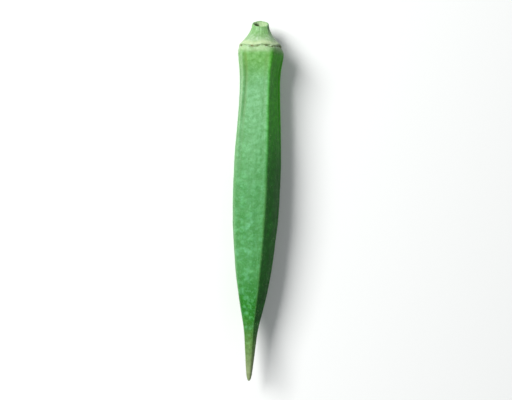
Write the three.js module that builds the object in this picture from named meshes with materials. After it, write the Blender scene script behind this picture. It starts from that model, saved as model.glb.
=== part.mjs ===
// An okra pod as picked: one long five-ridged seed pod, with the cap that its petals left and the cut
// stub of its stem, all grown as one piece. It lies on one of its five faces.
// Millimetres, +Z up. The pod lies along Y with its stem towards +Y and its tip towards -Y. The origin
// is the middle of the flat spot under its belly, on the surface that it rests on.

import * as THREE from "three";
import { mergeVertices } from "three/addons/utils/BufferGeometryUtils.js";

// Driving dimensions. Distances run along the pod from the cut end of its stem.
const POD_LENGTH = 126;
const BELLY_AT = 54; // where the pod is thickest, over the origin
const BELLY_RADIUS = 8.8; // from the pod's axis to a ridge
const BELLY_FACE_RADIUS = 7.45; // from the pod's axis to the middle of the face it lies on
const SETTLE = 0.36; // how much the soft face is pressed flat where the pod lies on it
const CAP_EDGE_AT = 7.95; // the edge of the cap, with the brown scar just under it

// The five ridges. The widest face looks up and to the side; the other four share the rest of the turn.
const RIDGES = 5;
const WIDE_FACE_DEG = 80;
const FACE_DEG = (360 - WIDE_FACE_DEG) / (RIDGES - 1);
const DOWN_DEG = 270;
const FIRST_RIDGE_DEG = DOWN_DEG - WIDE_FACE_DEG - 1.5 * FACE_DEG;
const TWIST_DEG_PER_MM = 0.1;
const RIDGE_WIDTH_SHARE = 0.085; // half-width of a ridge's bead, as a share of the radius there
const GROOVE_AT = 2.1; // the groove on each side of a bead, in half-widths of the bead from its crest
const GROOVE_WIDTH = 0.9;

// The pod bends a little out of its straight line, up and away from the face that it lies on.
const BEND_DEG = 111;
const TIP_BEND = 4;
const STEM_BEND = 1.5;

// The stem was cut on a slant, and the slope of the cut fades into the stub.
const CUT_SLANT_DEG = 27;
const CUT_FADE = 5;
const CUT_FACES_DEG = 111;

// The edge of the cap waves a little as it goes round, as [size, waves in a turn, start of the waves].
const EDGE_WAVES = [
  [0.18, RIDGES, 0],
  [0.12, 3, 1],
];
const EDGE_WAVE_REACH = 1.6;

const SIDES_PER_FACE = 12;
const SIDES = RIDGES * SIDES_PER_FACE;
const CROWDING = 0.5; // how far the sides crowd towards the ridges, from 0 to 1
const STEPS_PER_POINT = 2;

// Outlines, as [radius at a ridge, distance from the cut].
const CUT_FACE = [
  [0, 1.6],
  [0.9, 1.45],
  [1.7, 0.8],
  [2.3, 0.15],
];
const STEM_AND_CAP = [
  [2.7, 0],
  [3.0, 0.5],
  [3.2, 1.8],
  [3.75, 3.0],
  [4.45, 4.1],
  [5.3, 5.2],
  [6.3, 6.3],
  [7.1, 7.2],
  [7.65, CAP_EDGE_AT],
];
const POD = [
  [7.5, 8.3],
  [8.05, 8.8],
  [8.3, 9.6],
  [8.38, 11],
  [8.1, 13.4],
  [7.6, 16.8],
  [7.4, 20.8],
  [7.6, 27],
  [8.1, 35],
  [8.55, 43],
  [BELLY_RADIUS, 50],
  [BELLY_RADIUS, 58],
  [8.6, 66],
  [7.95, 75],
  [7.2, 83],
  [6.25, 90],
  [5.15, 96.5],
  [3.9, 102],
  [2.85, 106.5],
  [2.25, 110.5],
  [1.85, 115],
  [1.4, 120],
  [0.95, 124],
  [0.5, 125.6],
  [0, POD_LENGTH],
];

// What changes along the pod, as [distance, value].
const CRISPNESS = [
  [0, 3.5],
  [8, 4.5],
  [11, 8],
  [20, 16],
  [50, 20],
  [92, 14],
  [108, 7],
  [POD_LENGTH, 4],
];
const RIDGE_LIFT = [
  [8.4, 0],
  [10.5, 0.22],
  [20, 0.28],
  [60, 0.22],
  [95, 0.2],
  [110, 0.1],
  [122, 0],
];
const GROOVE_DEPTH = [
  [9, 0],
  [12, 0.2],
  [26, 0.24],
  [42, 0.1],
  [70, 0.05],
  [95, 0.1],
  [112, 0],
];
const FACE_HOLLOW = [
  [8.4, 0],
  [18, 0.25],
  [34, 0.1],
  [50, 0],
  [80, 0.05],
  [100, 0.2],
  [110, 0.08],
  [120, 0],
];

const radians = THREE.MathUtils.degToRad;

// A smooth bump: 1 at 0, and nearly 0 beyond 2.
function bell(x) {
  return Math.exp(-(x ** 2));
}

// The value of a table at a distance, on straight lines between its rows.
function along(table, distance) {
  const next = table.findIndex(([at]) => at >= distance);
  if (next === 0) return table[0][1];
  if (next < 0) return table.at(-1)[1];
  const [[from, low], [to, high]] = table.slice(next - 1, next + 1);
  return THREE.MathUtils.mapLinear(distance, from, to, low, high);
}

// The angle between a face's two ridges, and the angle of the first of them.
function faceSpan(face) {
  return face === 0 ? WIDE_FACE_DEG : FACE_DEG;
}
function faceStart(face) {
  return face === 0 ? FIRST_RIDGE_DEG : FIRST_RIDGE_DEG + WIDE_FACE_DEG + (face - 1) * FACE_DEG;
}

// Which face a side belongs to, and how far across it the side is. The sides crowd towards the ridges.
function sideOn(side) {
  const face = Math.floor(side / SIDES_PER_FACE) % RIDGES;
  const even = (side % SIDES_PER_FACE) / SIDES_PER_FACE;
  const across = even - (CROWDING * Math.sin(2 * Math.PI * even)) / (2 * Math.PI);
  return { face, across };
}

// A rounded five-sided section with its ridges at radius 1. A higher crispness gives flatter faces.
function section(angle, crispness) {
  let sum = 0;
  for (let face = 0; face < RIDGES; face++) {
    const halfSpan = faceSpan(face) / 2;
    const middle = faceStart(face) + halfSpan;
    const facing = Math.cos(radians(angle - middle)) / Math.cos(radians(halfSpan));
    sum += Math.max(0, facing) ** crispness;
  }
  return (sum / 2) ** (-1 / crispness);
}

// How far the skin is from the axis. Each ridge has a bead on it, with a groove on each side.
function reachAt(angle, face, across, radius, distance) {
  const fromRidge = radians(faceSpan(face) * Math.min(across, 1 - across)) / RIDGE_WIDTH_SHARE;
  const bead = along(RIDGE_LIFT, distance) * bell(fromRidge);
  const groove = along(GROOVE_DEPTH, distance) * bell((fromRidge - GROOVE_AT) / GROOVE_WIDTH);
  const hollow = along(FACE_HOLLOW, distance) * Math.sin(Math.PI * across) ** 2;
  return radius * section(angle, along(CRISPNESS, distance)) + bead - groove - hollow;
}

// How far the waves of the cap's edge move the skin towards the tip.
function edgeWave(turned, distance) {
  const heights = EDGE_WAVES.map(([size, waves, start]) => size * Math.cos(waves * turned + start));
  const height = heights.reduce((sum, one) => sum + one);
  return height * bell((distance - CAP_EDGE_AT) / EDGE_WAVE_REACH);
}

// How far the slant of the cut moves the skin towards the tip.
function cutDrop(reach, turned, distance) {
  const share = Math.max(0, 1 - distance / CUT_FADE);
  return Math.tan(radians(CUT_SLANT_DEG)) * reach * Math.cos(turned - radians(CUT_FACES_DEG)) * share;
}

// How far the axis is bent out of its straight line.
function bendAt(distance) {
  const beyond = distance - BELLY_AT;
  if (beyond > 0) return TIP_BEND * (beyond / (POD_LENGTH - BELLY_AT)) ** 2;
  return STEM_BEND * (beyond / BELLY_AT) ** 2;
}

function skinPoint(side, radius, distance) {
  const { face, across } = sideOn(side);
  const angle = faceStart(face) + faceSpan(face) * across;
  const reach = reachAt(angle, face, across, radius, distance);
  const turned = radians(angle + TWIST_DEG_PER_MM * (distance - BELLY_AT));
  const bend = bendAt(distance);
  const axisHeight = BELLY_FACE_RADIUS - SETTLE;
  return new THREE.Vector3(
    reach * Math.cos(turned) + bend * Math.cos(radians(BEND_DEG)),
    BELLY_AT - distance - edgeWave(turned, distance) - cutDrop(reach, turned, distance),
    Math.max(0, axisHeight + reach * Math.sin(turned) + bend * Math.sin(radians(BEND_DEG))),
  );
}

// Points of an outline joined by a smooth curve.
function smooth(points) {
  const curve = new THREE.SplineCurve(points.map(([radius, at]) => new THREE.Vector2(radius, at)));
  return curve.getPoints((points.length - 1) * STEPS_PER_POINT);
}

// One closed skin, with the lathe's seams joined and its flat triangles at the two poles dropped.
function weld(geometry) {
  const bare = geometry.clone();
  bare.deleteAttribute("normal");
  bare.deleteAttribute("uv");
  const merged = mergeVertices(bare, 1e-3);
  const { array } = merged.index;
  const kept = [];
  for (let i = 0; i < array.length; i += 3) {
    const [a, b, c] = array.slice(i, i + 3);
    if (a !== b && b !== c && c !== a) kept.push(a, b, c);
  }
  merged.setIndex(kept);
  merged.computeVertexNormals();
  return merged;
}

function podGeometry() {
  const cutFace = CUT_FACE.map(([radius, at]) => new THREE.Vector2(radius, at));
  const outline = [...cutFace, ...smooth(STEM_AND_CAP), ...smooth(POD)];
  const lathe = new THREE.LatheGeometry(outline, SIDES);
  const position = lathe.getAttribute("position");
  for (let side = 0; side <= SIDES; side++) {
    outline.forEach(({ x: radius, y: distance }, row) => {
      const { x, y, z } = skinPoint(side, radius, distance);
      position.setXYZ(side * outline.length + row, x, y, z);
    });
  }
  return weld(lathe);
}

const skin = new THREE.MeshStandardMaterial({ color: "#62a857", roughness: 0.55, metalness: 0 });
const pod = new THREE.Mesh(podGeometry(), skin);
pod.name = "okra_pod";

const okra = new THREE.Group();
okra.add(pod);
export default okra;
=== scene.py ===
"""The finish of one okra pod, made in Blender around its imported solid.

The pod lies on one of its five faces, along Y, with its stem towards +Y and its tip towards -Y. Its
skin is drawn as a straight round spindle first, ring by ring, and then the ridges, the bend and the
relief are worked into it. Sizes are in millimetres up to the last step, which turns them to metres.
"""

import math
import random

import bpy
from mathutils import Matrix, Vector, noise
from mathutils.bvhtree import BVHTree


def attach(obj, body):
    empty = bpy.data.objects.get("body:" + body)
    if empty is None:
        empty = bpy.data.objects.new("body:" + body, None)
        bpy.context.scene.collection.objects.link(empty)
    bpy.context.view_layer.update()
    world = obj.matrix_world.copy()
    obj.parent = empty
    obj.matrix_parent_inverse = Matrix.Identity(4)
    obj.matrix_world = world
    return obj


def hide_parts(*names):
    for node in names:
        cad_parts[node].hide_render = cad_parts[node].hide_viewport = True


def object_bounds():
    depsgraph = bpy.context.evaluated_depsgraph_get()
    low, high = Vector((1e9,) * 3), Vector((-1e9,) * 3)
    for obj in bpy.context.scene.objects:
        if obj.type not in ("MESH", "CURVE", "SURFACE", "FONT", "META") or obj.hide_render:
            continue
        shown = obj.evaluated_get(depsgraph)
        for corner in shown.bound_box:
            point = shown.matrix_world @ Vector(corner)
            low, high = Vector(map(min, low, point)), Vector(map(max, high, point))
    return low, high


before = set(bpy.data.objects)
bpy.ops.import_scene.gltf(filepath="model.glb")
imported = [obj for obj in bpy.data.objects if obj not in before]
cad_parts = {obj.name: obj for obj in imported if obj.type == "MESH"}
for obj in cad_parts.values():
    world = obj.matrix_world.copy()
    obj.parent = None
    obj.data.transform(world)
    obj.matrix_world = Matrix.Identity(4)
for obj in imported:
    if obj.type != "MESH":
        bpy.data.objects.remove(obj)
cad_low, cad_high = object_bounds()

bl_info = {
    "name": "Okra pod",
    "version": (1, 0, 0),
    "blender": (4, 5, 0),
    "location": "3D View > Sidebar > Okra",
    "description": "Models and colours an okra pod, with its scar and hairs, and sets a plain stage",
    "category": "Add Mesh",
}

MM = 0.001

# The pod's own dimensions, as in its solid. Distances run along it from the cut end of its stem.
BELLY_AT = 54
POD_LENGTH = BELLY_AT - cad_low.y / MM
BELLY_RADIUS = 8.8
BELLY_FACE_RADIUS = 7.45
SETTLE = 0.36
CAP_EDGE_AT = 7.95
RIM_RADIUS = 2.7

RIDGES = 5
WIDE_FACE_DEG = 80
FACE_DEG = (360 - WIDE_FACE_DEG) / (RIDGES - 1)
FIRST_RIDGE_DEG = 270 - WIDE_FACE_DEG - 1.5 * FACE_DEG
TWIST_DEG_PER_MM = 0.1
RIDGE_WIDTH_SHARE = 0.085
GROOVE_AT = 2.1  # in half-widths of a ridge's bead from its crest
GROOVE_WIDTH = 0.9
CROWDING = 0.5

BEND_DEG = 111
TIP_BEND = 4
STEM_BEND = 1.5

CUT_SLANT_DEG = 27
CUT_FADE = 5
CUT_FACES_DEG = 111
PIT_AT = (-0.85, -1.5)  # the hollow in the cut, from the stem's axis along +X and +Z
PIT_REACH = (1.15, 0.9)
SOFT_RIDGE_WIDTH_DEG = 30  # on either side of the first ridge, which is rounder than the others

EDGE_WAVE = 0.3
EDGE_WAVE_REACH = 1.6
SCAR_BELOW_CAP = 0.3  # from the edge of the cap to the middle of the scar
LIP_HEIGHT = 0.14  # how far the edge of the cap stands up
CRUMB_HEIGHT = 0.4  # how far crumbs of cork stand up in the scar
RIB_HEIGHT = 0.1  # of the soft ribs of the cap and the stem, one under each ridge
CUT_GRAIN = 0.14  # how rough the cut face of the stem is
BODY = (8.5, 12)  # the pod's own green skin begins between these distances

# The outline, as (distance, radius at a ridge). The cut face runs out from the middle of the stem.
CUT_FACE = [(1.6, 0.3), (1.5, 0.8), (1.25, 1.3), (0.7, 1.8), (0.25, 2.2), (0.05, 2.5)]
STEM_AND_CAP = [
    (0, RIM_RADIUS),
    (0.12, 2.86),
    (0.5, 3.0),
    (1.1, 3.08),
    (1.8, 3.2),
    (3.0, 3.75),
    (4.1, 4.45),
    (5.2, 5.3),
    (6.3, 6.3),
    (7.1, 7.1),
    (7.6, 7.52),
    (CAP_EDGE_AT, 7.65),
]
POD = [
    (8.15, 7.55),
    (8.35, 7.55),
    (8.6, 7.82),
    (9.0, 8.12),
    (9.6, 8.3),
    (10.3, 8.38),
    (11.2, 8.38),
    (12.3, 8.27),
    (13.6, 8.07),
    (15.2, 7.8),
    (17, 7.6),
    (19, 7.45),
    (21.5, 7.4),
    (24.5, 7.5),
    (28, 7.67),
    (32, 7.92),
    (36.5, 8.2),
    (41.5, 8.48),
    (46.5, 8.7),
    (51.5, BELLY_RADIUS),
    (56.5, BELLY_RADIUS),
    (61.5, 8.76),
    (66, 8.6),
    (70.5, 8.33),
    (75, 7.95),
    (79, 7.58),
    (83, 7.2),
    (86.5, 6.77),
    (90, 6.25),
    (93.3, 5.7),
    (96.5, 5.15),
    (99.3, 4.52),
    (102, 3.9),
    (104.3, 3.36),
    (106.5, 2.85),
    (108.5, 2.5),
    (110.5, 2.25),
    (112.8, 2.05),
    (115, 1.85),
    (117.5, 1.63),
    (120, 1.4),
    (122.2, 1.16),
    (124, 0.95),
    (125.1, 0.7),
    (125.6, 0.5),
    (125.9, 0.25),
]

# What changes along the pod, as (distance, value). The faces are a little fuller here than in the
# plain solid, so their hollows turn into swellings below zero, and the ridges stand less proud.
CRISPNESS = [(0, 3.5), (8, 4.5), (11, 8), (20, 16), (50, 20), (92, 14), (108, 7), (POD_LENGTH, 4)]
RIDGE_LIFT = [(8.4, 0), (10.5, 0.22), (20, 0.28), (40, 0.2), (60, 0.12), (95, 0.12), (110, 0.08), (122, 0)]
FACE_HOLLOW = [(8.4, 0), (18, 0.2), (30, 0), (44, -0.3), (60, -0.45), (80, -0.4), (100, -0.1), (115, 0)]
GROOVE_DEPTH = [(9, 0), (12, 0.2), (26, 0.22), (42, 0.05), (58, 0), (80, 0), (95, 0.05), (112, 0)]
SEED_SWELL = [(18, 0), (28, 1), (80, 1), (98, 0)]

# Which of the skin's colours is where, as (distance, setting).
COLOUR_STOPS = [
    (0, "stem"),
    (2.5, "stem"),
    (6.3, "cap"),
    (8.2, "cap"),
    (10.8, "shoulder"),
    (13, "shoulder"),
    (22, "neck"),
    (27, "neck"),
    (58, "belly"),
    (87, "belly"),
    (97, "taper"),
    (103, "taper"),
    (112, "tip"),
]

SEED_PITCH = 5.2
GROWN_RADIUS = 8  # the radius of the straight rod in whose space the streaks run
SIDES = 60
ROUNDING = 1e-6  # a point this little short of a ridge is on it
SEED = 27

HAIR_TONES = 0.35  # how far hairs differ in colour, from 0 to 1
HAIR_ROOT = 0.1  # how deep a hair is sunk in the skin, as a share of its length
HAIRS_FROM = 1.5  # no hairs on the cut face, nor on its rim
MOST_HAIRY = 4
CLEAR_OF_FLOOR = 0.1 * MM

# The lights and the camera. Their places and sizes are in metres.
SOFTBOX_SIZE = 0.5
KEY_LIGHT_AT = Vector((-0.94, 0.38, 0.74))
FILL_LIGHT_AT = Vector((0.45, -0.35, 0.35))
SURROUND = (0.94, 0.97, 1)
SURROUND_STRENGTH = 0.3
CAMERA_TILT_DEG = 110.9  # the way to the camera, round the pod from +X towards +Z
CAMERA_ROLL_DEG = 1.9
SENSOR_WIDTH_MM = 36
PICTURE_WIDTH, PICTURE_HEIGHT = 512, 400


def srgb(red, green, blue):
    """A screen colour, from 0 to 255, as the linear colour that Blender works in."""
    shares = [channel / 255 for channel in (red, green, blue)]
    return tuple(s / 12.92 if s <= 0.04045 else ((s + 0.055) / 1.055) ** 2.4 for s in shares)


DRY_TIP = srgb(142, 140, 112)


def colour(name, description, default):
    """A colour setting."""
    return bpy.props.FloatVectorProperty(
        name=name, description=description, default=default, subtype="COLOR", min=0, max=1
    )


def length(name, description, millimetres):
    """A length setting, kept in metres."""
    return bpy.props.FloatProperty(
        name=name, description=description, default=millimetres * MM, unit="LENGTH", precision=5
    )


class OkraSkinSettings(bpy.types.PropertyGroup):
    """The relief and the colours of the pod's skin."""

    lumps: length("Lumps", "Height of the soft lumps that keep the faces from being even", 0.13)
    fibres: length("Fibres", "Height of the fibres that run along the faces", 0.035)
    seeds: length("Seeds", "How far the seeds push the skin out beside each ridge", 0.04)
    scar_depth: length("Scar depth", "Depth of the groove under the edge of the cap", 0.34)
    hollow_depth: length("Hollow depth", "Depth of the hollow in the cut end of the stem", 1.3)
    stem: colour("Stem", "Colour of the stub of the stem", srgb(138, 170, 125))
    cap: colour("Cap", "Colour of the cap above the scar", srgb(169, 183, 161))
    shoulder: colour("Shoulder", "Colour of the shoulder just under the scar", srgb(114, 160, 92))
    # The neck and belly colours are partly the skin's own green and partly a painted sheen, paler and
    # bluer, in place of the softbox's reflection; the painted shade takes it off the right side again.
    neck: colour("Neck", "Colour of the upper part of the pod", srgb(105, 154, 110))
    belly: colour("Belly", "Colour of the thick middle of the pod", srgb(76, 138, 83))
    taper: colour("Taper", "Colour of the tapering lower part of the pod", srgb(36, 114, 19))
    tip: colour("Tip", "Colour of the drawn-out tip", srgb(89, 116, 52))
    # The pale ridge colour is partly the ridges' own paler skin and partly a painted highlight along the
    # crests.
    ridge: colour("Ridge", "Colour of the ridges", srgb(132, 165, 122))
    # The bluish colour of the bloom patches on the taper, also used for the painted glints.
    bloom_and_glints: colour("Bloom", "Colour of the small dusty spots of the faces", srgb(94, 160, 116))
    # The pale colour is the cap's own pale lip above the scar, and a painted highlight on the left side of
    # the shoulder under it.
    pale: colour("Pale bands", "Colour of the skin next to the scar", srgb(172, 190, 146))
    scar: colour("Scar", "Colour of the scar under the cap", srgb(84, 84, 34))
    pith: colour("Pith", "Colour of the wood where the stem was cut", srgb(158, 182, 138))
    # The dark hollow colour is painted shade in the pit of the cut stem.
    hollow: colour("Hollow", "Colour inside the hollow of the cut stem", srgb(44, 62, 18))
    roughness: bpy.props.FloatProperty(
        name="Roughness", description="How dull the skin is", default=0.38, min=0, max=1
    )


class OkraScarSettings(bpy.types.PropertyGroup):
    """The dry scraps that the petals and sepals left in the scar."""

    count: bpy.props.IntProperty(
        name="Scraps", description="How many scraps lie round the scar", default=46, min=3
    )
    size: length("Size", "Length of a scrap", 1.1)
    dark: colour("Dark", "Colour of the scraps in their hollows", srgb(68, 62, 28))
    light: colour("Light", "Colour of the scraps on their edges", srgb(146, 146, 88))


class OkraHairSettings(bpy.types.PropertyGroup):
    """The short stiff hairs of the skin."""

    count: bpy.props.IntProperty(
        name="Hairs", description="How many hairs the pod has", default=2900, min=1
    )
    size: length("Length", "Length of the longest hairs", 0.55)
    thickness: length("Thickness", "Thickness of a hair at its foot", 0.045)
    tone: colour("Colour", "Colour of the hairs", srgb(150, 188, 122))


class OkraStageSettings(bpy.types.PropertyGroup):
    """The floor, the lights and the camera."""

    floor: colour("Floor", "Colour of the floor", srgb(246, 247, 245))
    floor_size: length("Floor size", "Length of a side of the floor", 4000)
    key_power: bpy.props.FloatProperty(
        name="Key light", description="Power of the main softbox", default=24, unit="POWER"
    )
    fill_power: bpy.props.FloatProperty(
        name="Fill light", description="Power of the fill softbox", default=0.05, unit="POWER"
    )
    lens: bpy.props.FloatProperty(
        name="Lens", description="Focal length of the camera in millimetres", default=100
    )
    filled: bpy.props.FloatProperty(
        name="Filled", description="Share of the picture's height that the pod takes", default=0.9
    )


def along(table, distance):
    """The value of a table at a distance, on a smooth curve through its rows."""
    if distance <= table[0][0]:
        return table[0][1]
    if distance >= table[-1][0]:
        return table[-1][1]
    after = next(row for row in range(len(table)) if table[row][0] > distance)
    rows = [table[max(0, after - 2)], table[after - 1], table[after], table[min(after + 1, len(table) - 1)]]
    (before_at, before), (low_at, low), (high_at, high), (beyond_at, beyond) = rows
    step = high_at - low_at
    share = (distance - low_at) / step
    low_slope = (high - before) / (high_at - before_at) * step
    high_slope = (beyond - low) / (beyond_at - low_at) * step
    rise = 3 * share**2 - 2 * share**3
    return (
        low * (1 - rise)
        + high * rise
        + low_slope * (share**3 - 2 * share**2 + share)
        + high_slope * (share**3 - share**2)
    )


def bell(value, middle, width):
    """A smooth bump that is 1 at the middle and fades on both sides of it."""
    return math.exp(-(((value - middle) / width) ** 2))


def ramp(value, low, high):
    """0 at or below low, 1 at or above high, and smooth between them."""
    share = min(1, max(0, (value - low) / (high - low)))
    return share * share * (3 - 2 * share)


def face_start_deg(face):
    """The angle of a face's first ridge."""
    return FIRST_RIDGE_DEG + (0 if face == 0 else WIDE_FACE_DEG + (face - 1) * FACE_DEG)


def face_span_deg(face):
    """The angle between a face's two ridges."""
    return WIDE_FACE_DEG if face == 0 else FACE_DEG


def section(angle, crispness):
    """The rounded five-sided section, with its ridges at radius 1, at an angle in degrees."""
    total = 0
    for face in range(RIDGES):
        span = face_span_deg(face)
        middle = face_start_deg(face) + span / 2
        facing = math.cos(math.radians(angle - middle)) / math.cos(math.radians(span / 2))
        total += max(0, facing) ** crispness
    return (total / 2) ** (-1 / crispness)


class Spot:
    """A place on the skin, read from a point of the straight round spindle."""

    def __init__(self, straight):
        self.distance = BELLY_AT - straight.y
        self.radius = math.hypot(straight.x, straight.z)
        turn = math.degrees(math.atan2(straight.z, straight.x)) % 360 / (360 / RIDGES)
        passed = int(turn + ROUNDING)
        self.face = passed % RIDGES
        even = max(0.0, turn - passed)
        self.across = even - CROWDING * math.sin(2 * math.pi * even) / (2 * math.pi)
        self.angle = face_start_deg(self.face) + face_span_deg(self.face) * self.across
        self.turned = math.radians(self.angle + TWIST_DEG_PER_MM * (self.distance - BELLY_AT))
        gap = math.radians(face_span_deg(self.face) * min(self.across, 1 - self.across))
        self.from_ridge = gap / RIDGE_WIDTH_SHARE
        self.cut = ramp(-self.radius, -RIM_RADIUS, -0.8 * RIM_RADIUS) * ramp(-self.distance, -2, -1.4)
        past_first = math.remainder(self.angle - FIRST_RIDGE_DEG, 360)
        self.raised = 1 - 0.75 * bell(past_first, 0, SOFT_RIDGE_WIDTH_DEG)
        own = math.radians(self.angle)
        self.grown = Vector((GROWN_RADIUS * math.cos(own), self.distance, GROWN_RADIUS * math.sin(own)))
        wander = noise.noise(Vector((self.grown.x * 0.3, 5, self.grown.z * 0.3)))
        self.below_cap = self.distance - CAP_EDGE_AT + 0.6 * wander
        self.torn = ramp(noise.noise(Vector((self.grown.x * 0.45, 2, self.grown.z * 0.45))), -0.3, 0.15)

    def ridge(self):
        """1 on a ridge of the pod, 0 off it and on the cap. The first ridge shows less on the neck."""
        shows = max(self.raised, ramp(self.distance, 45, 60))
        return shows * math.exp(-(self.from_ridge**2)) * ramp(self.distance, 8.4, 12)

    def soft_relief(self, skin):
        """Lumps, seeds and fibres, in millimetres."""
        slim = min(1, self.radius / BELLY_RADIUS)
        body = ramp(self.distance, *BODY)
        lumps = noise.noise(self.grown * 0.11) + 0.45 * noise.noise(self.grown * 0.31)
        swell = math.cos(math.pi * (self.distance / SEED_PITCH + 0.4 * self.face)) ** 2
        beside = bell(self.across, 0.27, 0.14) + bell(self.across, 0.73, 0.14)
        seeds = along(SEED_SWELL, self.distance) * swell * beside
        stretched = Vector((self.grown.x * 1.5, self.distance * 0.07, self.grown.z * 1.5))
        fibres = noise.noise(stretched)
        return (skin.lumps * lumps * body * slim + skin.seeds * seeds + skin.fibres * fibres * slim) / MM

    def beside_ridge(self):
        """1 in the middle of the groove on either side of a ridge, and 0 away from it."""
        return self.raised * bell(self.from_ridge, GROOVE_AT, GROOVE_WIDTH)

    def ridge_relief(self):
        """The ridges, the grooves beside them, and the hollows of the faces, in millimetres."""
        bead = along(RIDGE_LIFT, self.distance) * self.raised * math.exp(-(self.from_ridge**2))
        hollow = along(FACE_HOLLOW, self.distance) * math.sin(math.pi * self.across) ** 2
        groove = along(GROOVE_DEPTH, self.distance) * self.beside_ridge()
        return bead - groove - hollow

    def scar_relief(self, skin):
        """The lip of the cap, the groove under it and the cork in the groove, in millimetres."""
        gap = self.below_cap
        broken = noise.noise(self.grown * 0.8)
        crumbs = max(0, noise.noise(self.grown * 2.3 + Vector((7, 0, 0))))
        lip = LIP_HEIGHT * bell(gap, -0.4, 0.34) * (1 + 0.8 * broken)
        depth = skin.scar_depth / MM * (0.3 + 0.7 * self.torn) * (0.8 + 0.9 * broken)
        groove = depth * bell(gap, SCAR_BELOW_CAP, 0.2 + 0.12 * self.torn)
        return lip - groove + CRUMB_HEIGHT * crumbs * bell(gap, SCAR_BELOW_CAP, 0.4)

    def stem_relief(self):
        """The soft ribs of the cap and the stem, in millimetres."""
        above_edge = ramp(-self.distance, -7.6, -3.5) * (1 - self.cut)
        ribs = RIB_HEIGHT * (math.cos(RIDGES * self.turned + 0.6) + 0.5 * math.cos(11 * self.turned))
        rough = 0.12 * noise.noise(Vector((self.grown.x * 0.8, self.distance * 0.25, self.grown.z * 0.8)))
        return (ribs + rough) * above_edge

    def pit(self):
        """1 in the hollow of the cut stem, which lies off its middle, and 0 away from it."""
        across = self.radius * math.cos(self.turned)
        upward = self.radius * math.sin(self.turned)
        return self.cut * bell(across, PIT_AT[0], PIT_REACH[0]) * bell(upward, PIT_AT[1], PIT_REACH[1])

    def cut_depth(self, skin):
        """How far a point of the cut face lies below the plain dished face, in millimetres."""
        grain = noise.noise(Vector((self.radius * 2.2, 3 * math.cos(self.turned), 3)))
        ring = bell(self.radius, 1.95, 0.22) * math.cos(13 * self.turned)
        return self.cut * (skin.hollow_depth / MM * self.pit() + CUT_GRAIN * (grain + ring))

    def reach(self, skin):
        """How far the skin is from the pod's axis, in millimetres."""
        relief = self.ridge_relief() + self.soft_relief(skin) + self.scar_relief(skin) + self.stem_relief()
        return self.radius * section(self.angle, along(CRISPNESS, self.distance)) + relief

    def edge_wave(self):
        """How far the waves of the cap's edge move the skin towards the tip, in millimetres."""
        wave = 0.6 * math.cos(RIDGES * self.turned) + 0.4 * math.cos(3 * self.turned + 1)
        return EDGE_WAVE * wave * bell(self.distance, CAP_EDGE_AT, EDGE_WAVE_REACH)

    def cut_drop(self, reach):
        """How far the slant of the cut moves the skin towards the tip, in millimetres."""
        facing_cut = reach * math.cos(self.turned - math.radians(CUT_FACES_DEG))
        return math.tan(math.radians(CUT_SLANT_DEG)) * facing_cut * max(0, 1 - self.distance / CUT_FADE)

    def bend(self):
        """How far the pod's axis is bent out of its straight line, in millimetres."""
        beyond = self.distance - BELLY_AT
        if beyond > 0:
            return TIP_BEND * (beyond / (POD_LENGTH - BELLY_AT)) ** 2
        return STEM_BEND * (beyond / BELLY_AT) ** 2

    def place(self, skin):
        """The place in space, in metres."""
        reach = self.reach(skin)
        bend = self.bend()
        towards_tip = self.edge_wave() + self.cut_drop(reach) + self.cut_depth(skin)
        height = BELLY_FACE_RADIUS - SETTLE + reach * math.sin(self.turned)
        return MM * Vector((
            reach * math.cos(self.turned) + bend * math.cos(math.radians(BEND_DEG)),
            BELLY_AT - self.distance - towards_tip,
            max(0, height + bend * math.sin(math.radians(BEND_DEG))),
        ))


def spot_at(distance, turn):
    """The spot at a distance from the cut and a turn round the spindle, in radians."""
    radius = along([*STEM_AND_CAP, *POD], distance)
    return Spot(Vector((radius * math.cos(turn), BELLY_AT - distance, radius * math.sin(turn))))


class Value:
    """One output of a shader node. A sum written on it adds its Math nodes."""

    def __init__(self, finish, socket):
        self.finish = finish
        self.socket = socket

    def maths(self, operation, first, second=0.0):
        return self.finish.node("ShaderNodeMath", {"operation": operation}, {0: first, 1: second})

    def __add__(self, other):
        return self.maths("ADD", self, other)

    def __sub__(self, other):
        return self.maths("SUBTRACT", self, other)

    def __rsub__(self, other):
        return self.maths("SUBTRACT", other, self)

    def __mul__(self, other):
        return self.maths("MULTIPLY", self, other)

    def __truediv__(self, other):
        return self.maths("DIVIDE", self, other)

    def bell(self, middle, width):
        """A smooth bump that is 1 at the middle and fades on both sides of it."""
        off = (self - middle) / width
        return self.maths("EXPONENT", off * off * -1.0)

    def ramp(self, low, high):
        """0 at low, 1 at high, smooth between them and level beyond them."""
        ends = {"Value": self, "From Min": low, "From Max": high}
        return self.finish.node("ShaderNodeMapRange", {"interpolation_type": "SMOOTHSTEP"}, ends)

    __radd__ = __add__
    __rmul__ = __mul__


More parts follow.
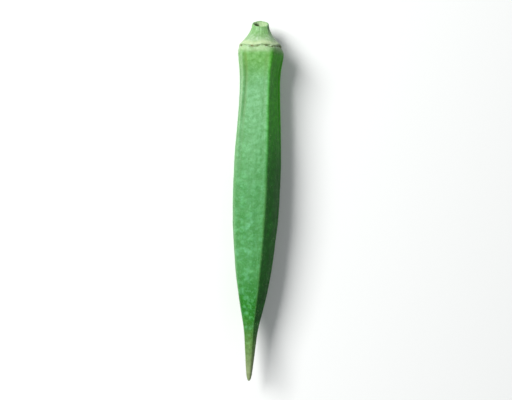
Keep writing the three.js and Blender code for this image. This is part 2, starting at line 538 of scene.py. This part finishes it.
class Finish:
    """A material in the making, with one Principled shader."""

    def __init__(self, name):
        self.material = bpy.data.materials.new(name)
        self.material.use_nodes = True
        self.tree = self.material.node_tree
        self.shader = self.tree.nodes["Principled BSDF"]

    def feed(self, socket, value):
        if isinstance(value, Value):
            self.tree.links.new(value.socket, socket)
        elif socket.type == "RGBA" and len(value) == 3:
            socket.default_value = (*value, 1)
        else:
            socket.default_value = value

    def node(self, kind, settings, sockets, output=0):
        """Adds a node, with its settings made first and its sockets filled or linked after them."""
        made = self.tree.nodes.new(kind)
        for name, value in settings.items():
            if name == "stops":
                self.set_stops(made.color_ramp, value)
            else:
                setattr(made, name, value)
        for name, value in sockets.items():
            self.feed(made.inputs[name], value)
        return Value(self, made.outputs[output])

    def set_stops(self, colour_ramp, stops):
        while len(colour_ramp.elements) < len(stops):
            colour_ramp.elements.new(1)
        for element, (place, tone) in zip(colour_ramp.elements, stops):
            element.position = place
            element.color = (*tone, 1)

    def mix(self, share, first, second, blend="MIX"):
        """One colour mixed over another."""
        kind = {"data_type": "RGBA", "blend_type": blend}
        return self.node("ShaderNodeMix", kind, {0: share, 6: first, 7: second}, 2)

    def stretched(self, vector, scale):
        """Coordinates with each axis scaled by its own number."""
        return self.node("ShaderNodeVectorMath", {"operation": "MULTIPLY"}, {0: vector, 1: scale})

    def shifted(self, vector, step):
        """Coordinates moved by a step."""
        return self.node("ShaderNodeVectorMath", {"operation": "ADD"}, {0: vector, 1: step})

    def noise(self, vector, scale, detail=2.0, roughness=0.5):
        """Smooth noise from 0 to 1."""
        sockets = {"Vector": vector, "Scale": scale, "Detail": detail, "Roughness": roughness}
        return self.node("ShaderNodeTexNoise", {}, sockets)

    def bends(self, vector, scale):
        """Smooth noise from -1 to 1 along each axis."""
        noise_field = self.node("ShaderNodeTexNoise", {}, {"Vector": vector, "Scale": scale}, "Color")
        return self.stretched(self.shifted(noise_field, (-0.5, -0.5, -0.5)), (2, 2, 2))

    def cells(self, vector, scale):
        """The distance from the middle of the nearest of many scattered cells."""
        return self.node("ShaderNodeTexVoronoi", {}, {"Vector": vector, "Scale": scale}, "Distance")

    def kept(self, name, output="Fac"):
        """What the piece keeps on its points under a name."""
        return self.node("ShaderNodeAttribute", {"attribute_name": name}, {}, output)

    def millimetres(self):
        """The object's own coordinates in millimetres."""
        place = self.node("ShaderNodeTexCoord", {}, {}, "Object")
        return self.stretched(place, (1 / MM, 1 / MM, 1 / MM))

    def bump(self, height_mm, strength):
        """Feeds a height in millimetres to the shader's normal."""
        sockets = {"Height": height_mm, "Distance": MM, "Strength": strength}
        self.set("Normal", self.node("ShaderNodeBump", {}, sockets))

    def set(self, socket, value):
        self.feed(self.shader.inputs[socket], value)


class SkinPattern:
    """The noises, stretches and values kept on the skin's points that its look is worked out from."""

    def __init__(self, finish):
        place = finish.millimetres()
        grown = finish.kept("grown", "Vector")
        self.distance = finish.node("ShaderNodeSeparateXYZ", {}, {"Vector": grown}, "Y")
        self.rightward = finish.node("ShaderNodeSeparateXYZ", {}, {"Vector": grown}, "X")
        self.ridge = finish.kept("ridge")
        self.groove = finish.kept("groove")
        self.cut = finish.kept("cut")
        self.pit = finish.kept("pit")
        self.below_cap = finish.kept("below_cap")

        self.drift = finish.noise(place, 0.1)
        self.patches = finish.noise(place, 0.34)
        self.mottle = finish.noise(place, 0.7, 4.0, 0.66)
        # Painted glints: small pale bluish spots that stand in for light caught on the skin's bumps.
        self.glints = finish.noise(place, 1.15, 2.0, 0.6)
        self.grain = finish.noise(place, 3.2, 3.0, 0.6)
        self.streaks = finish.noise(finish.stretched(grown, (1.1, 0.06, 1.1)), 1.0, 3.0, 0.55)
        self.fine_streaks = finish.noise(finish.stretched(grown, (3.2, 0.12, 3.2)), 1.0)
        self.broken = finish.noise(finish.stretched(grown, (0.42, 1.4, 0.42)), 1.0, 4.0, 0.65)
        self.specks = 1 - finish.cells(place, 1.25).ramp(0.06, 0.24)
        wavy = finish.shifted(place, finish.bends(place, 0.35))
        self.seams = finish.cells(wavy, 0.42).ramp(0.35, 0.75)

        self.on_cap = 1 - self.distance.ramp(7.6, 8.6)
        self.on_body = self.distance.ramp(*BODY)
        self.on_neck = 1 - self.distance.ramp(26, 44)
        self.on_taper = self.distance.ramp(40, 74) * (1 - self.distance.ramp(106, 114))
        # Painted shade: the pod's right side, away from the key light, is darkened and its green deepened
        # in the skin's colour.
        right_side = self.rightward.ramp(-0.6, 1.6) * (0.9 + self.rightward.ramp(1.6, 7) * 0.1)
        self.painted_shade = right_side * self.on_body * (1 - self.distance.ramp(104, 116))
        band = self.below_cap.bell(SCAR_BELOW_CAP, 0.42)
        self.scar = band * self.broken.ramp(0.42, 0.58) * (0.25 + finish.kept("torn") * 0.75)


def base_colour(finish, skin, on):
    """The colour of each stretch of the pod. Below the neck the borders between them wander."""
    wander = (on.drift - 0.5) * 10 * on.distance.ramp(14, 22)
    stops = [(at / POD_LENGTH, getattr(skin, name)) for at, name in COLOUR_STOPS]
    return finish.node("ShaderNodeValToRGB", {"stops": stops}, {"Fac": (on.distance + wander) / POD_LENGTH})


def mottled(finish, skin, on, base, darker):
    """The base colour broken up by mottling, bluish patches, painted glints, seams, streaks and grain."""
    paler = finish.mix(0.09, base, (0.2, 0.85, 0.25))
    tone = finish.mix(0.1 + on.mottle.ramp(0.36, 0.64) * 0.85, darker, paler)
    tone = finish.mix(on.patches.ramp(0.48, 0.62) * on.on_taper * 0.7, tone, darker)
    tone = finish.mix((1 - on.patches.ramp(0.36, 0.5)) * on.on_taper * 0.4, tone, skin.bloom_and_glints)
    tone = finish.mix(on.seams * (0.45 + on.on_taper * 0.35), tone, darker)
    painted_glints = on.glints.ramp(0.52, 0.64) * (0.25 + on.on_taper * 0.75)
    tone = finish.mix(painted_glints * 0.25, tone, skin.bloom_and_glints)
    tone = finish.mix(on.streaks.ramp(0.35, 0.7) * 0.3, tone, darker)
    tone = finish.mix(on.grain.ramp(0.5, 0.72) * 0.3, tone, paler)
    return finish.mix(on.specks * on.mottle.ramp(0.45, 0.6) * 0.15, tone, skin.ridge)


def ridged(finish, skin, on, base, tone):
    """Pale ridges, partly a painted highlight, with olive grooves beside them that are partly painted
    shade, and painted shade that darkens and deepens the green of the pod's right side.
    """
    # The olive darkening beside the ridges is partly the skin's own olive tone and partly painted shade in
    # the grooves.
    olive_groove_shade = finish.mix(1.0, base, (0.74, 0.72, 0.5), "MULTIPLY")
    tone = finish.mix(on.groove * on.on_body * (0.3 + on.on_neck * 0.5), tone, olive_groove_shade)
    # Pale ridges: partly their own colour, partly a painted highlight, kept off the first ridge on the
    # neck.
    tone = finish.mix(on.ridge.ramp(0.3, 0.95) * (0.22 + on.on_neck * 0.4), tone, skin.ridge)
    # How far the painted shade darkens and deepens the green, from the neck to the belly.
    depth = finish.mix(on.distance.ramp(30, 56), (0.38, 1.22, 0.03), (0.15, 0.54, 0.04))
    return finish.mix(on.painted_shade * 0.95, tone, finish.mix(1.0, tone, depth, "MULTIPLY"))


def ended(finish, skin, on, darker, tone):
    """The dry tip, the streaked cap, the scar between its pale bands, the lower one a painted highlight,
    and the cut face of the stem with painted shade in its hollow.
    """
    dry = on.distance.ramp(POD_LENGTH - 14, POD_LENGTH - 2) * (0.4 + on.mottle)
    tone = finish.mix(dry * 0.55, tone, DRY_TIP)
    tone = finish.mix(on.on_cap * on.fine_streaks.ramp(0.42, 0.66) * 0.4, tone, darker)
    above_scar = on.below_cap.bell(-0.75, 0.75)
    # Painted highlight: a pale band under the scar on the pod's left side, towards the key light.
    painted_highlight_under_scar = on.below_cap.bell(1.5, 0.95) * (1 - on.rightward.ramp(-2.8, 0.8)) * on.drift.ramp(0.3, 0.6)
    tone = finish.mix(above_scar * 0.75 + painted_highlight_under_scar * 0.4, tone, skin.pale)
    tone = finish.mix(on.scar * 0.9, tone, skin.scar)
    tone = finish.mix(on.cut, tone, skin.pith)
    tone = finish.mix(on.cut * on.grain.ramp(0.45, 0.65) * 0.5, tone, darker)
    # Painted shade: the pit in the cut face is darkened.
    return finish.mix(on.pit.ramp(0.2, 0.65), tone, skin.hollow)


def skin_height(on):
    """The skin's finest relief, in millimetres."""
    return (
        on.mottle * 0.1
        + on.patches * 0.08
        - on.seams * 0.05
        + on.grain * 0.035
        + on.fine_streaks * (0.05 + on.on_cap * 0.1)
        + on.specks * 0.035
        + on.scar * on.broken * 0.3
        + on.cut * on.grain * 0.25
    )


def skin_finish(skin):
    """The green skin: mottled, finely streaked along the pod, pale on its ridges and its cap, with painted
    sheen, highlights and glints on its lit faces and painted shade down its right side.
    """
    finish = Finish("okra_skin")
    on = SkinPattern(finish)
    base = base_colour(finish, skin, on)
    darker = finish.mix(1.0, base, (0.48, 0.7, 0.38), "MULTIPLY")
    tone = mottled(finish, skin, on, base, darker)
    tone = ridged(finish, skin, on, base, tone)
    finish.set("Base Color", ended(finish, skin, on, darker, tone))
    # The side with painted shade is also made duller.
    dullness = on.mottle * 0.14 - on.ridge * 0.06 + on.scar * 0.25 + on.cut * 0.2 + on.painted_shade * 0.25
    finish.set("Roughness", skin.roughness + dullness)
    finish.set("Specular IOR Level", 0.25)
    finish.set("Specular Tint", (0.7, 0.88, 0.84))
    finish.set("Sheen Weight", 0.03)
    finish.set("Sheen Tint", (0.75, 1.0, 0.8))
    finish.set("Sheen Roughness", 0.45)
    finish.set("Subsurface Weight", 0.06)
    finish.set("Subsurface Radius", (1.0, 1.6, 0.5))
    finish.set("Subsurface Scale", 0.8 * MM)
    finish.bump(skin_height(on), 0.75)
    return finish.material


def scar_finish(scar):
    """Dry brown cork, paler on its raised edges."""
    finish = Finish("dry_scar")
    place = finish.millimetres()
    crust = finish.noise(place, 3.5, 4.0, 0.7)
    fibre = finish.noise(finish.stretched(place, (6.0, 1.5, 6.0)), 1.0, 2.0)
    tone = finish.mix(crust.ramp(0.38, 0.68), scar.dark, scar.light)
    tone = finish.mix(fibre.ramp(0.5, 0.8) * 0.4, tone, scar.light)
    finish.set("Base Color", tone)
    finish.set("Roughness", 0.72 + crust * 0.2)
    finish.bump(crust * 0.12 + fibre * 0.05, 0.8)
    return finish.material


def hair_finish(hair):
    """Pale stiff hairs, some greener than others."""
    finish = Finish("pale_hairs")
    tone = finish.noise(finish.millimetres(), 1.4, 1.0)
    greener = tuple(channel * share for channel, share in zip(hair.tone, (0.45, 0.72, 0.38)))
    finish.set("Base Color", finish.mix(tone.ramp(0.35, 0.65) * HAIR_TONES, hair.tone, greener))
    finish.set("Roughness", 0.35 + tone * 0.15)
    return finish.material


def floor_finish(tone):
    """A plain pale studio floor."""
    finish = Finish("pale_floor")
    cloud = finish.noise(finish.node("ShaderNodeTexCoord", {}, {}, "Object"), 3.0)
    finish.set("Base Color", finish.mix(cloud * 0.04, tone, (1.0, 1.0, 1.0)))
    finish.set("Roughness", 0.75)
    return finish.material


def start(name, add, **settings):
    """Deselects everything, adds a primitive and names it."""
    bpy.ops.object.select_all(action="DESELECT")
    add(**settings)
    made = bpy.context.object
    made.name = name
    made.data.name = name
    bpy.ops.object.transform_apply(location=True, rotation=True, scale=True)
    return made


def apply_modifier(piece, kind, **settings):
    """Adds a modifier to a piece and applies it."""
    modifier = piece.modifiers.new(kind.title(), kind)
    for name, value in settings.items():
        setattr(modifier, name, value)
    bpy.ops.object.modifier_apply(modifier=modifier.name)


def finish_piece(piece, material):
    """Gives a finished piece its material and its body."""
    piece.data.materials.clear()
    piece.data.materials.append(material)
    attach(piece, "root")


def draw_spindle():
    """The straight round spindle: a filled circle in the cut face, drawn out ring by ring to the tip."""
    rings = [*CUT_FACE, *STEM_AND_CAP, *POD]
    (distance, radius), rest = rings[0], rings[1:]
    spindle = start(
        "okra_pod_skin",
        bpy.ops.mesh.primitive_circle_add,
        vertices=SIDES,
        radius=radius,
        fill_type="TRIFAN",
        location=(0, BELLY_AT - distance, 0),
        rotation=(math.pi / 2, 0, 0),
    )
    bpy.ops.object.mode_set(mode="EDIT")
    bpy.ops.mesh.select_mode(type="EDGE")
    bpy.ops.mesh.select_all(action="DESELECT")
    bpy.ops.mesh.select_non_manifold()
    for next_distance, next_radius in rest:
        bpy.ops.mesh.extrude_edges_move(
            TRANSFORM_OT_translate={"value": (0, distance - next_distance, 0)}
        )
        share = next_radius / radius
        bpy.ops.transform.resize(
            value=(share, 1, share), center_override=(0, BELLY_AT - next_distance, 0)
        )
        distance, radius = next_distance, next_radius
    bpy.ops.mesh.extrude_edges_move(
        TRANSFORM_OT_translate={"value": (0, distance - POD_LENGTH, 0)}
    )
    bpy.ops.mesh.merge(type="CENTER")
    bpy.ops.mesh.select_all(action="SELECT")
    bpy.ops.mesh.normals_make_consistent(inside=False)
    bpy.ops.object.mode_set(mode="OBJECT")
    return spindle


def keep(mesh, name, kind, field, values):
    """Stores one value for each point of a mesh, for its material to read."""
    attribute = mesh.attributes.new(name, kind, "POINT")
    attribute.data.foreach_set(field, values)


def work_skin(piece, skin):
    """Moves every point of the spindle to its place on the pod, and keeps what the material reads."""
    mesh = piece.data
    spots = [Spot(vertex.co) for vertex in mesh.vertices]
    for vertex, spot in zip(mesh.vertices, spots):
        vertex.co = spot.place(skin)
    mesh.update()
    keep(mesh, "grown", "FLOAT_VECTOR", "vector", [part for spot in spots for part in spot.grown])
    keep(mesh, "ridge", "FLOAT", "value", [spot.ridge() for spot in spots])
    keep(mesh, "below_cap", "FLOAT", "value", [spot.below_cap for spot in spots])
    keep(mesh, "torn", "FLOAT", "value", [spot.torn for spot in spots])
    keep(mesh, "cut", "FLOAT", "value", [spot.cut for spot in spots])
    keep(mesh, "pit", "FLOAT", "value", [spot.pit() for spot in spots])
    keep(mesh, "groove", "FLOAT", "value", [spot.beside_ridge() for spot in spots])


class OKRA_OT_skin(bpy.types.Operator):
    """Models the pod's skin, from the cut stem to the tip, in place of its plain solid"""

    bl_idname = "okra.skin"
    bl_label = "Pod skin"

    def execute(self, context):
        skin = context.scene.okra_skin
        piece = draw_spindle()
        apply_modifier(piece, "SUBSURF", levels=2, render_levels=2)
        work_skin(piece, skin)
        bpy.ops.object.shade_smooth()
        finish_piece(piece, skin_finish(skin))
        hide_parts("okra_pod")
        return {"FINISHED"}


def copied(name, model, places):
    """A new piece that holds one copy of the model for each place, with the model itself removed."""
    corners = [vertex.co.copy() for vertex in model.data.vertices]
    faces = [list(face.vertices) for face in model.data.polygons]
    points, all_faces = [], []
    for place in places:
        first = len(points)
        points += [place @ corner for corner in corners]
        all_faces += [[first + corner for corner in face] for face in faces]
    bpy.data.objects.remove(model)
    mesh = bpy.data.meshes.new(name)
    mesh.from_pydata(points, [], all_faces)
    piece = bpy.data.objects.new(name, mesh)
    bpy.context.collection.objects.link(piece)
    bpy.context.view_layer.objects.active = piece
    piece.select_set(True)
    return piece


def stand(place, up, forward, size):
    """The matrix that stands a model on a place, with its Z along up and its Y near forward."""
    up = up.normalized()
    side = forward.cross(up).normalized()
    turn = Matrix((side, up.cross(side), up)).transposed().to_4x4()
    return Matrix.Translation(place) @ turn @ Matrix.Diagonal((*size, 1))


def model_scrap():
    """One scrap of cork, 1 across: a thin block, cut up, roughened and rounded."""
    scrap = start("scrap", bpy.ops.mesh.primitive_cube_add, size=1, scale=(1, 0.34, 0.22))
    bpy.ops.object.mode_set(mode="EDIT")
    bpy.ops.mesh.select_all(action="SELECT")
    bpy.ops.mesh.subdivide(number_cuts=1)
    bpy.ops.transform.vertex_random(offset=0.13, uniform=0.9, normal=0.1, seed=SEED)
    bpy.ops.object.mode_set(mode="OBJECT")
    apply_modifier(scrap, "SUBSURF", levels=1, render_levels=1)
    return scrap


class OKRA_OT_scar(bpy.types.Operator):
    """Lays the dry scraps of the petals and sepals in the scar under the cap"""

    bl_idname = "okra.scar"
    bl_label = "Scar scraps"

    def execute(self, context):
        scar, skin = context.scene.okra_scar, context.scene.okra_skin
        draw = random.Random(SEED)
        places = []
        for step in range(scar.count):
            turn = 2 * math.pi * (step + draw.uniform(-0.45, 0.45)) / scar.count
            spot = spot_at(CAP_EDGE_AT + draw.uniform(0.05, 0.55), turn)
            foot = spot.place(skin)
            out = Vector((foot.x, 0, foot.z - (BELLY_FACE_RADIUS - SETTLE) * MM)).normalized()
            out += Vector((0, draw.uniform(-0.3, 0.5), 0))
            lean = Vector((draw.uniform(-0.35, 0.35), 1, draw.uniform(-0.35, 0.35)))
            long, wide, high = draw.uniform(0.5, 1), draw.uniform(0.5, 1.1), draw.uniform(0.5, 1)
            size = [scar.size * share for share in (long, wide, high)]
            if foot.z > scar.size / 2 and draw.random() < spot.torn:
                places.append(stand(foot, out, lean, size))
        piece = copied("scar_scraps", model_scrap(), places)
        bpy.ops.object.shade_smooth()
        finish_piece(piece, scar_finish(scar))
        return {"FINISHED"}


def model_hair():
    """One stiff hair, 1 tall: a slim three-sided cone, cut across and bent over a little."""
    middle = (0, 0, (1 - HAIR_ROOT) / 2)
    hair = start(
        "hair",
        bpy.ops.mesh.primitive_cone_add,
        vertices=3,
        radius1=1,
        radius2=0.12,
        depth=1 + HAIR_ROOT,
        location=middle,
        end_fill_type="NGON",
    )
    bpy.ops.object.mode_set(mode="EDIT")
    bpy.ops.mesh.select_all(action="SELECT")
    bpy.ops.mesh.bisect(plane_co=middle, plane_no=(0, 0, 1))
    bpy.ops.mesh.select_all(action="DESELECT")
    bpy.ops.object.mode_set(mode="OBJECT")
    for vertex in hair.data.vertices:
        vertex.select = vertex.co.z > 0.9
    bpy.ops.object.mode_set(mode="EDIT")
    bpy.ops.transform.translate(value=(0, 2.4, 0))
    bpy.ops.object.mode_set(mode="OBJECT")
    return hair


def hairiness(spot):
    """How likely a hair is to stand at a spot, up to MOST_HAIRY. A slim stretch has less skin for hairs."""
    on_tip = ramp(spot.distance, 92, 112)
    on_shoulder = bell(spot.distance, 10.5, 2)
    return (0.6 + 2.1 * spot.ridge() + 2.5 * on_tip + 2 * on_shoulder) * spot.radius / BELLY_RADIUS


class OKRA_OT_hairs(bpy.types.Operator):
    """Stands short stiff hairs on the skin, most of them on the ridges, the shoulder and the tip"""

    bl_idname = "okra.hairs"
    bl_label = "Hairs"

    def execute(self, context):
        hair, skin = context.scene.okra_hair, context.scene.okra_skin
        pod = bpy.data.objects["okra_pod_skin"]
        surface = BVHTree.FromObject(pod, context.evaluated_depsgraph_get())
        draw = random.Random(SEED)
        places = []
        while len(places) < hair.count:
            spot = spot_at(draw.uniform(HAIRS_FROM, POD_LENGTH), draw.uniform(0, 2 * math.pi))
            if draw.uniform(0, MOST_HAIRY) > hairiness(spot):
                continue
            foot, out, *_ = surface.find_nearest(spot.place(skin))
            up = out + Vector([draw.gauss(0, 0.28) for _ in range(3)]) + Vector((0, -0.35, 0))
            tall = hair.size * draw.uniform(0.35, 1)
            thick = hair.thickness / 2 * draw.uniform(0.6, 1)
            tip = foot + tall * up.normalized()
            if min(foot.z, tip.z) > CLEAR_OF_FLOOR:
                places.append(stand(foot, up, Vector((0, -1, 0.01)), (thick, thick, tall)))
        piece = copied("skin_hairs", model_hair(), places)
        bpy.ops.object.shade_smooth()
        finish_piece(piece, hair_finish(hair))
        return {"FINISHED"}


def softbox(name, power, place, target):
    """A square area light that faces a target."""
    light = bpy.data.lights.new(name, "AREA")
    light.energy = power
    light.size = SOFTBOX_SIZE
    lamp = bpy.data.objects.new(name, light)
    lamp.location = place
    lamp.rotation_euler = (target - place).to_track_quat("-Z", "Y").to_euler()
    bpy.context.scene.collection.objects.link(lamp)


def lay_floor(stage):
    """The plain pale floor that the pod rests on."""
    floor = start("floor", bpy.ops.mesh.primitive_plane_add, size=stage.floor_size)
    floor.data.materials.append(floor_finish(stage.floor))


def light_room():
    """A pale even surround, with colours shown as they are."""
    world = bpy.data.worlds.new("surround")
    world.use_nodes = True
    background = world.node_tree.nodes["Background"]
    background.inputs["Color"].default_value = (*SURROUND, 1)
    background.inputs["Strength"].default_value = SURROUND_STRENGTH
    bpy.context.scene.world = world
    bpy.context.scene.view_settings.view_transform = "Standard"


def place_camera(stage):
    """Looks down on the pod from the photograph's side, with the stem at the top of the picture."""
    target = (cad_low + cad_high) / 2
    away = Vector((math.cos(math.radians(CAMERA_TILT_DEG)), 0, math.sin(math.radians(CAMERA_TILT_DEG))))
    height = (cad_high.y - cad_low.y) / stage.filled
    reach = height * PICTURE_WIDTH / PICTURE_HEIGHT * stage.lens / SENSOR_WIDTH_MM
    data = bpy.data.cameras.new("camera")
    data.lens = stage.lens
    data.sensor_width = SENSOR_WIDTH_MM
    data.clip_start = 0.01
    data.clip_end = 20
    camera = bpy.data.objects.new("camera", data)
    up = Vector((0, 1, 0))
    right = up.cross(away)
    turn = Matrix((right, up, away)).transposed().to_4x4()
    roll = Matrix.Rotation(math.radians(CAMERA_ROLL_DEG), 4, "Z")
    camera.matrix_world = Matrix.Translation(target + away * reach) @ turn @ roll
    bpy.context.scene.collection.objects.link(camera)
    bpy.context.scene.camera = camera


class OKRA_OT_stage(bpy.types.Operator):
    """Lays a pale floor, hangs two softboxes and sets up the camera"""

    bl_idname = "okra.stage"
    bl_label = "Stage"

    def execute(self, context):
        stage = context.scene.okra_stage
        lay_floor(stage)
        light_room()
        middle = (cad_low + cad_high) / 2
        softbox("key_light", stage.key_power, KEY_LIGHT_AT, middle)
        softbox("fill_light", stage.fill_power, FILL_LIGHT_AT, middle)
        place_camera(stage)
        return {"FINISHED"}


OPERATORS = (OKRA_OT_skin, OKRA_OT_scar, OKRA_OT_hairs, OKRA_OT_stage)
SETTINGS = {
    "okra_skin": OkraSkinSettings,
    "okra_scar": OkraScarSettings,
    "okra_hair": OkraHairSettings,
    "okra_stage": OkraStageSettings,
}


class OKRA_PT_panel(bpy.types.Panel):
    """The pieces of the pod and their settings"""

    bl_label = "Okra pod"
    bl_space_type = "VIEW_3D"
    bl_region_type = "UI"
    bl_category = "Okra"

    def draw(self, context):
        for operator, name in zip(OPERATORS, SETTINGS):
            box = self.layout.box()
            box.operator(operator.bl_idname)
            settings = getattr(context.scene, name)
            for setting in settings.__annotations__:
                box.prop(settings, setting)


def register():
    for kind in (*SETTINGS.values(), *OPERATORS, OKRA_PT_panel):
        bpy.utils.register_class(kind)
    for name, kind in SETTINGS.items():
        setattr(bpy.types.Scene, name, bpy.props.PointerProperty(type=kind))


def unregister():
    for name in SETTINGS:
        delattr(bpy.types.Scene, name)
    for kind in (OKRA_PT_panel, *OPERATORS, *SETTINGS.values()):
        bpy.utils.unregister_class(kind)


def main():
    register()
    bpy.ops.okra.skin()
    bpy.ops.okra.scar()
    bpy.ops.okra.hairs()
    bpy.ops.okra.stage()


if __name__ == "__main__":
    main()
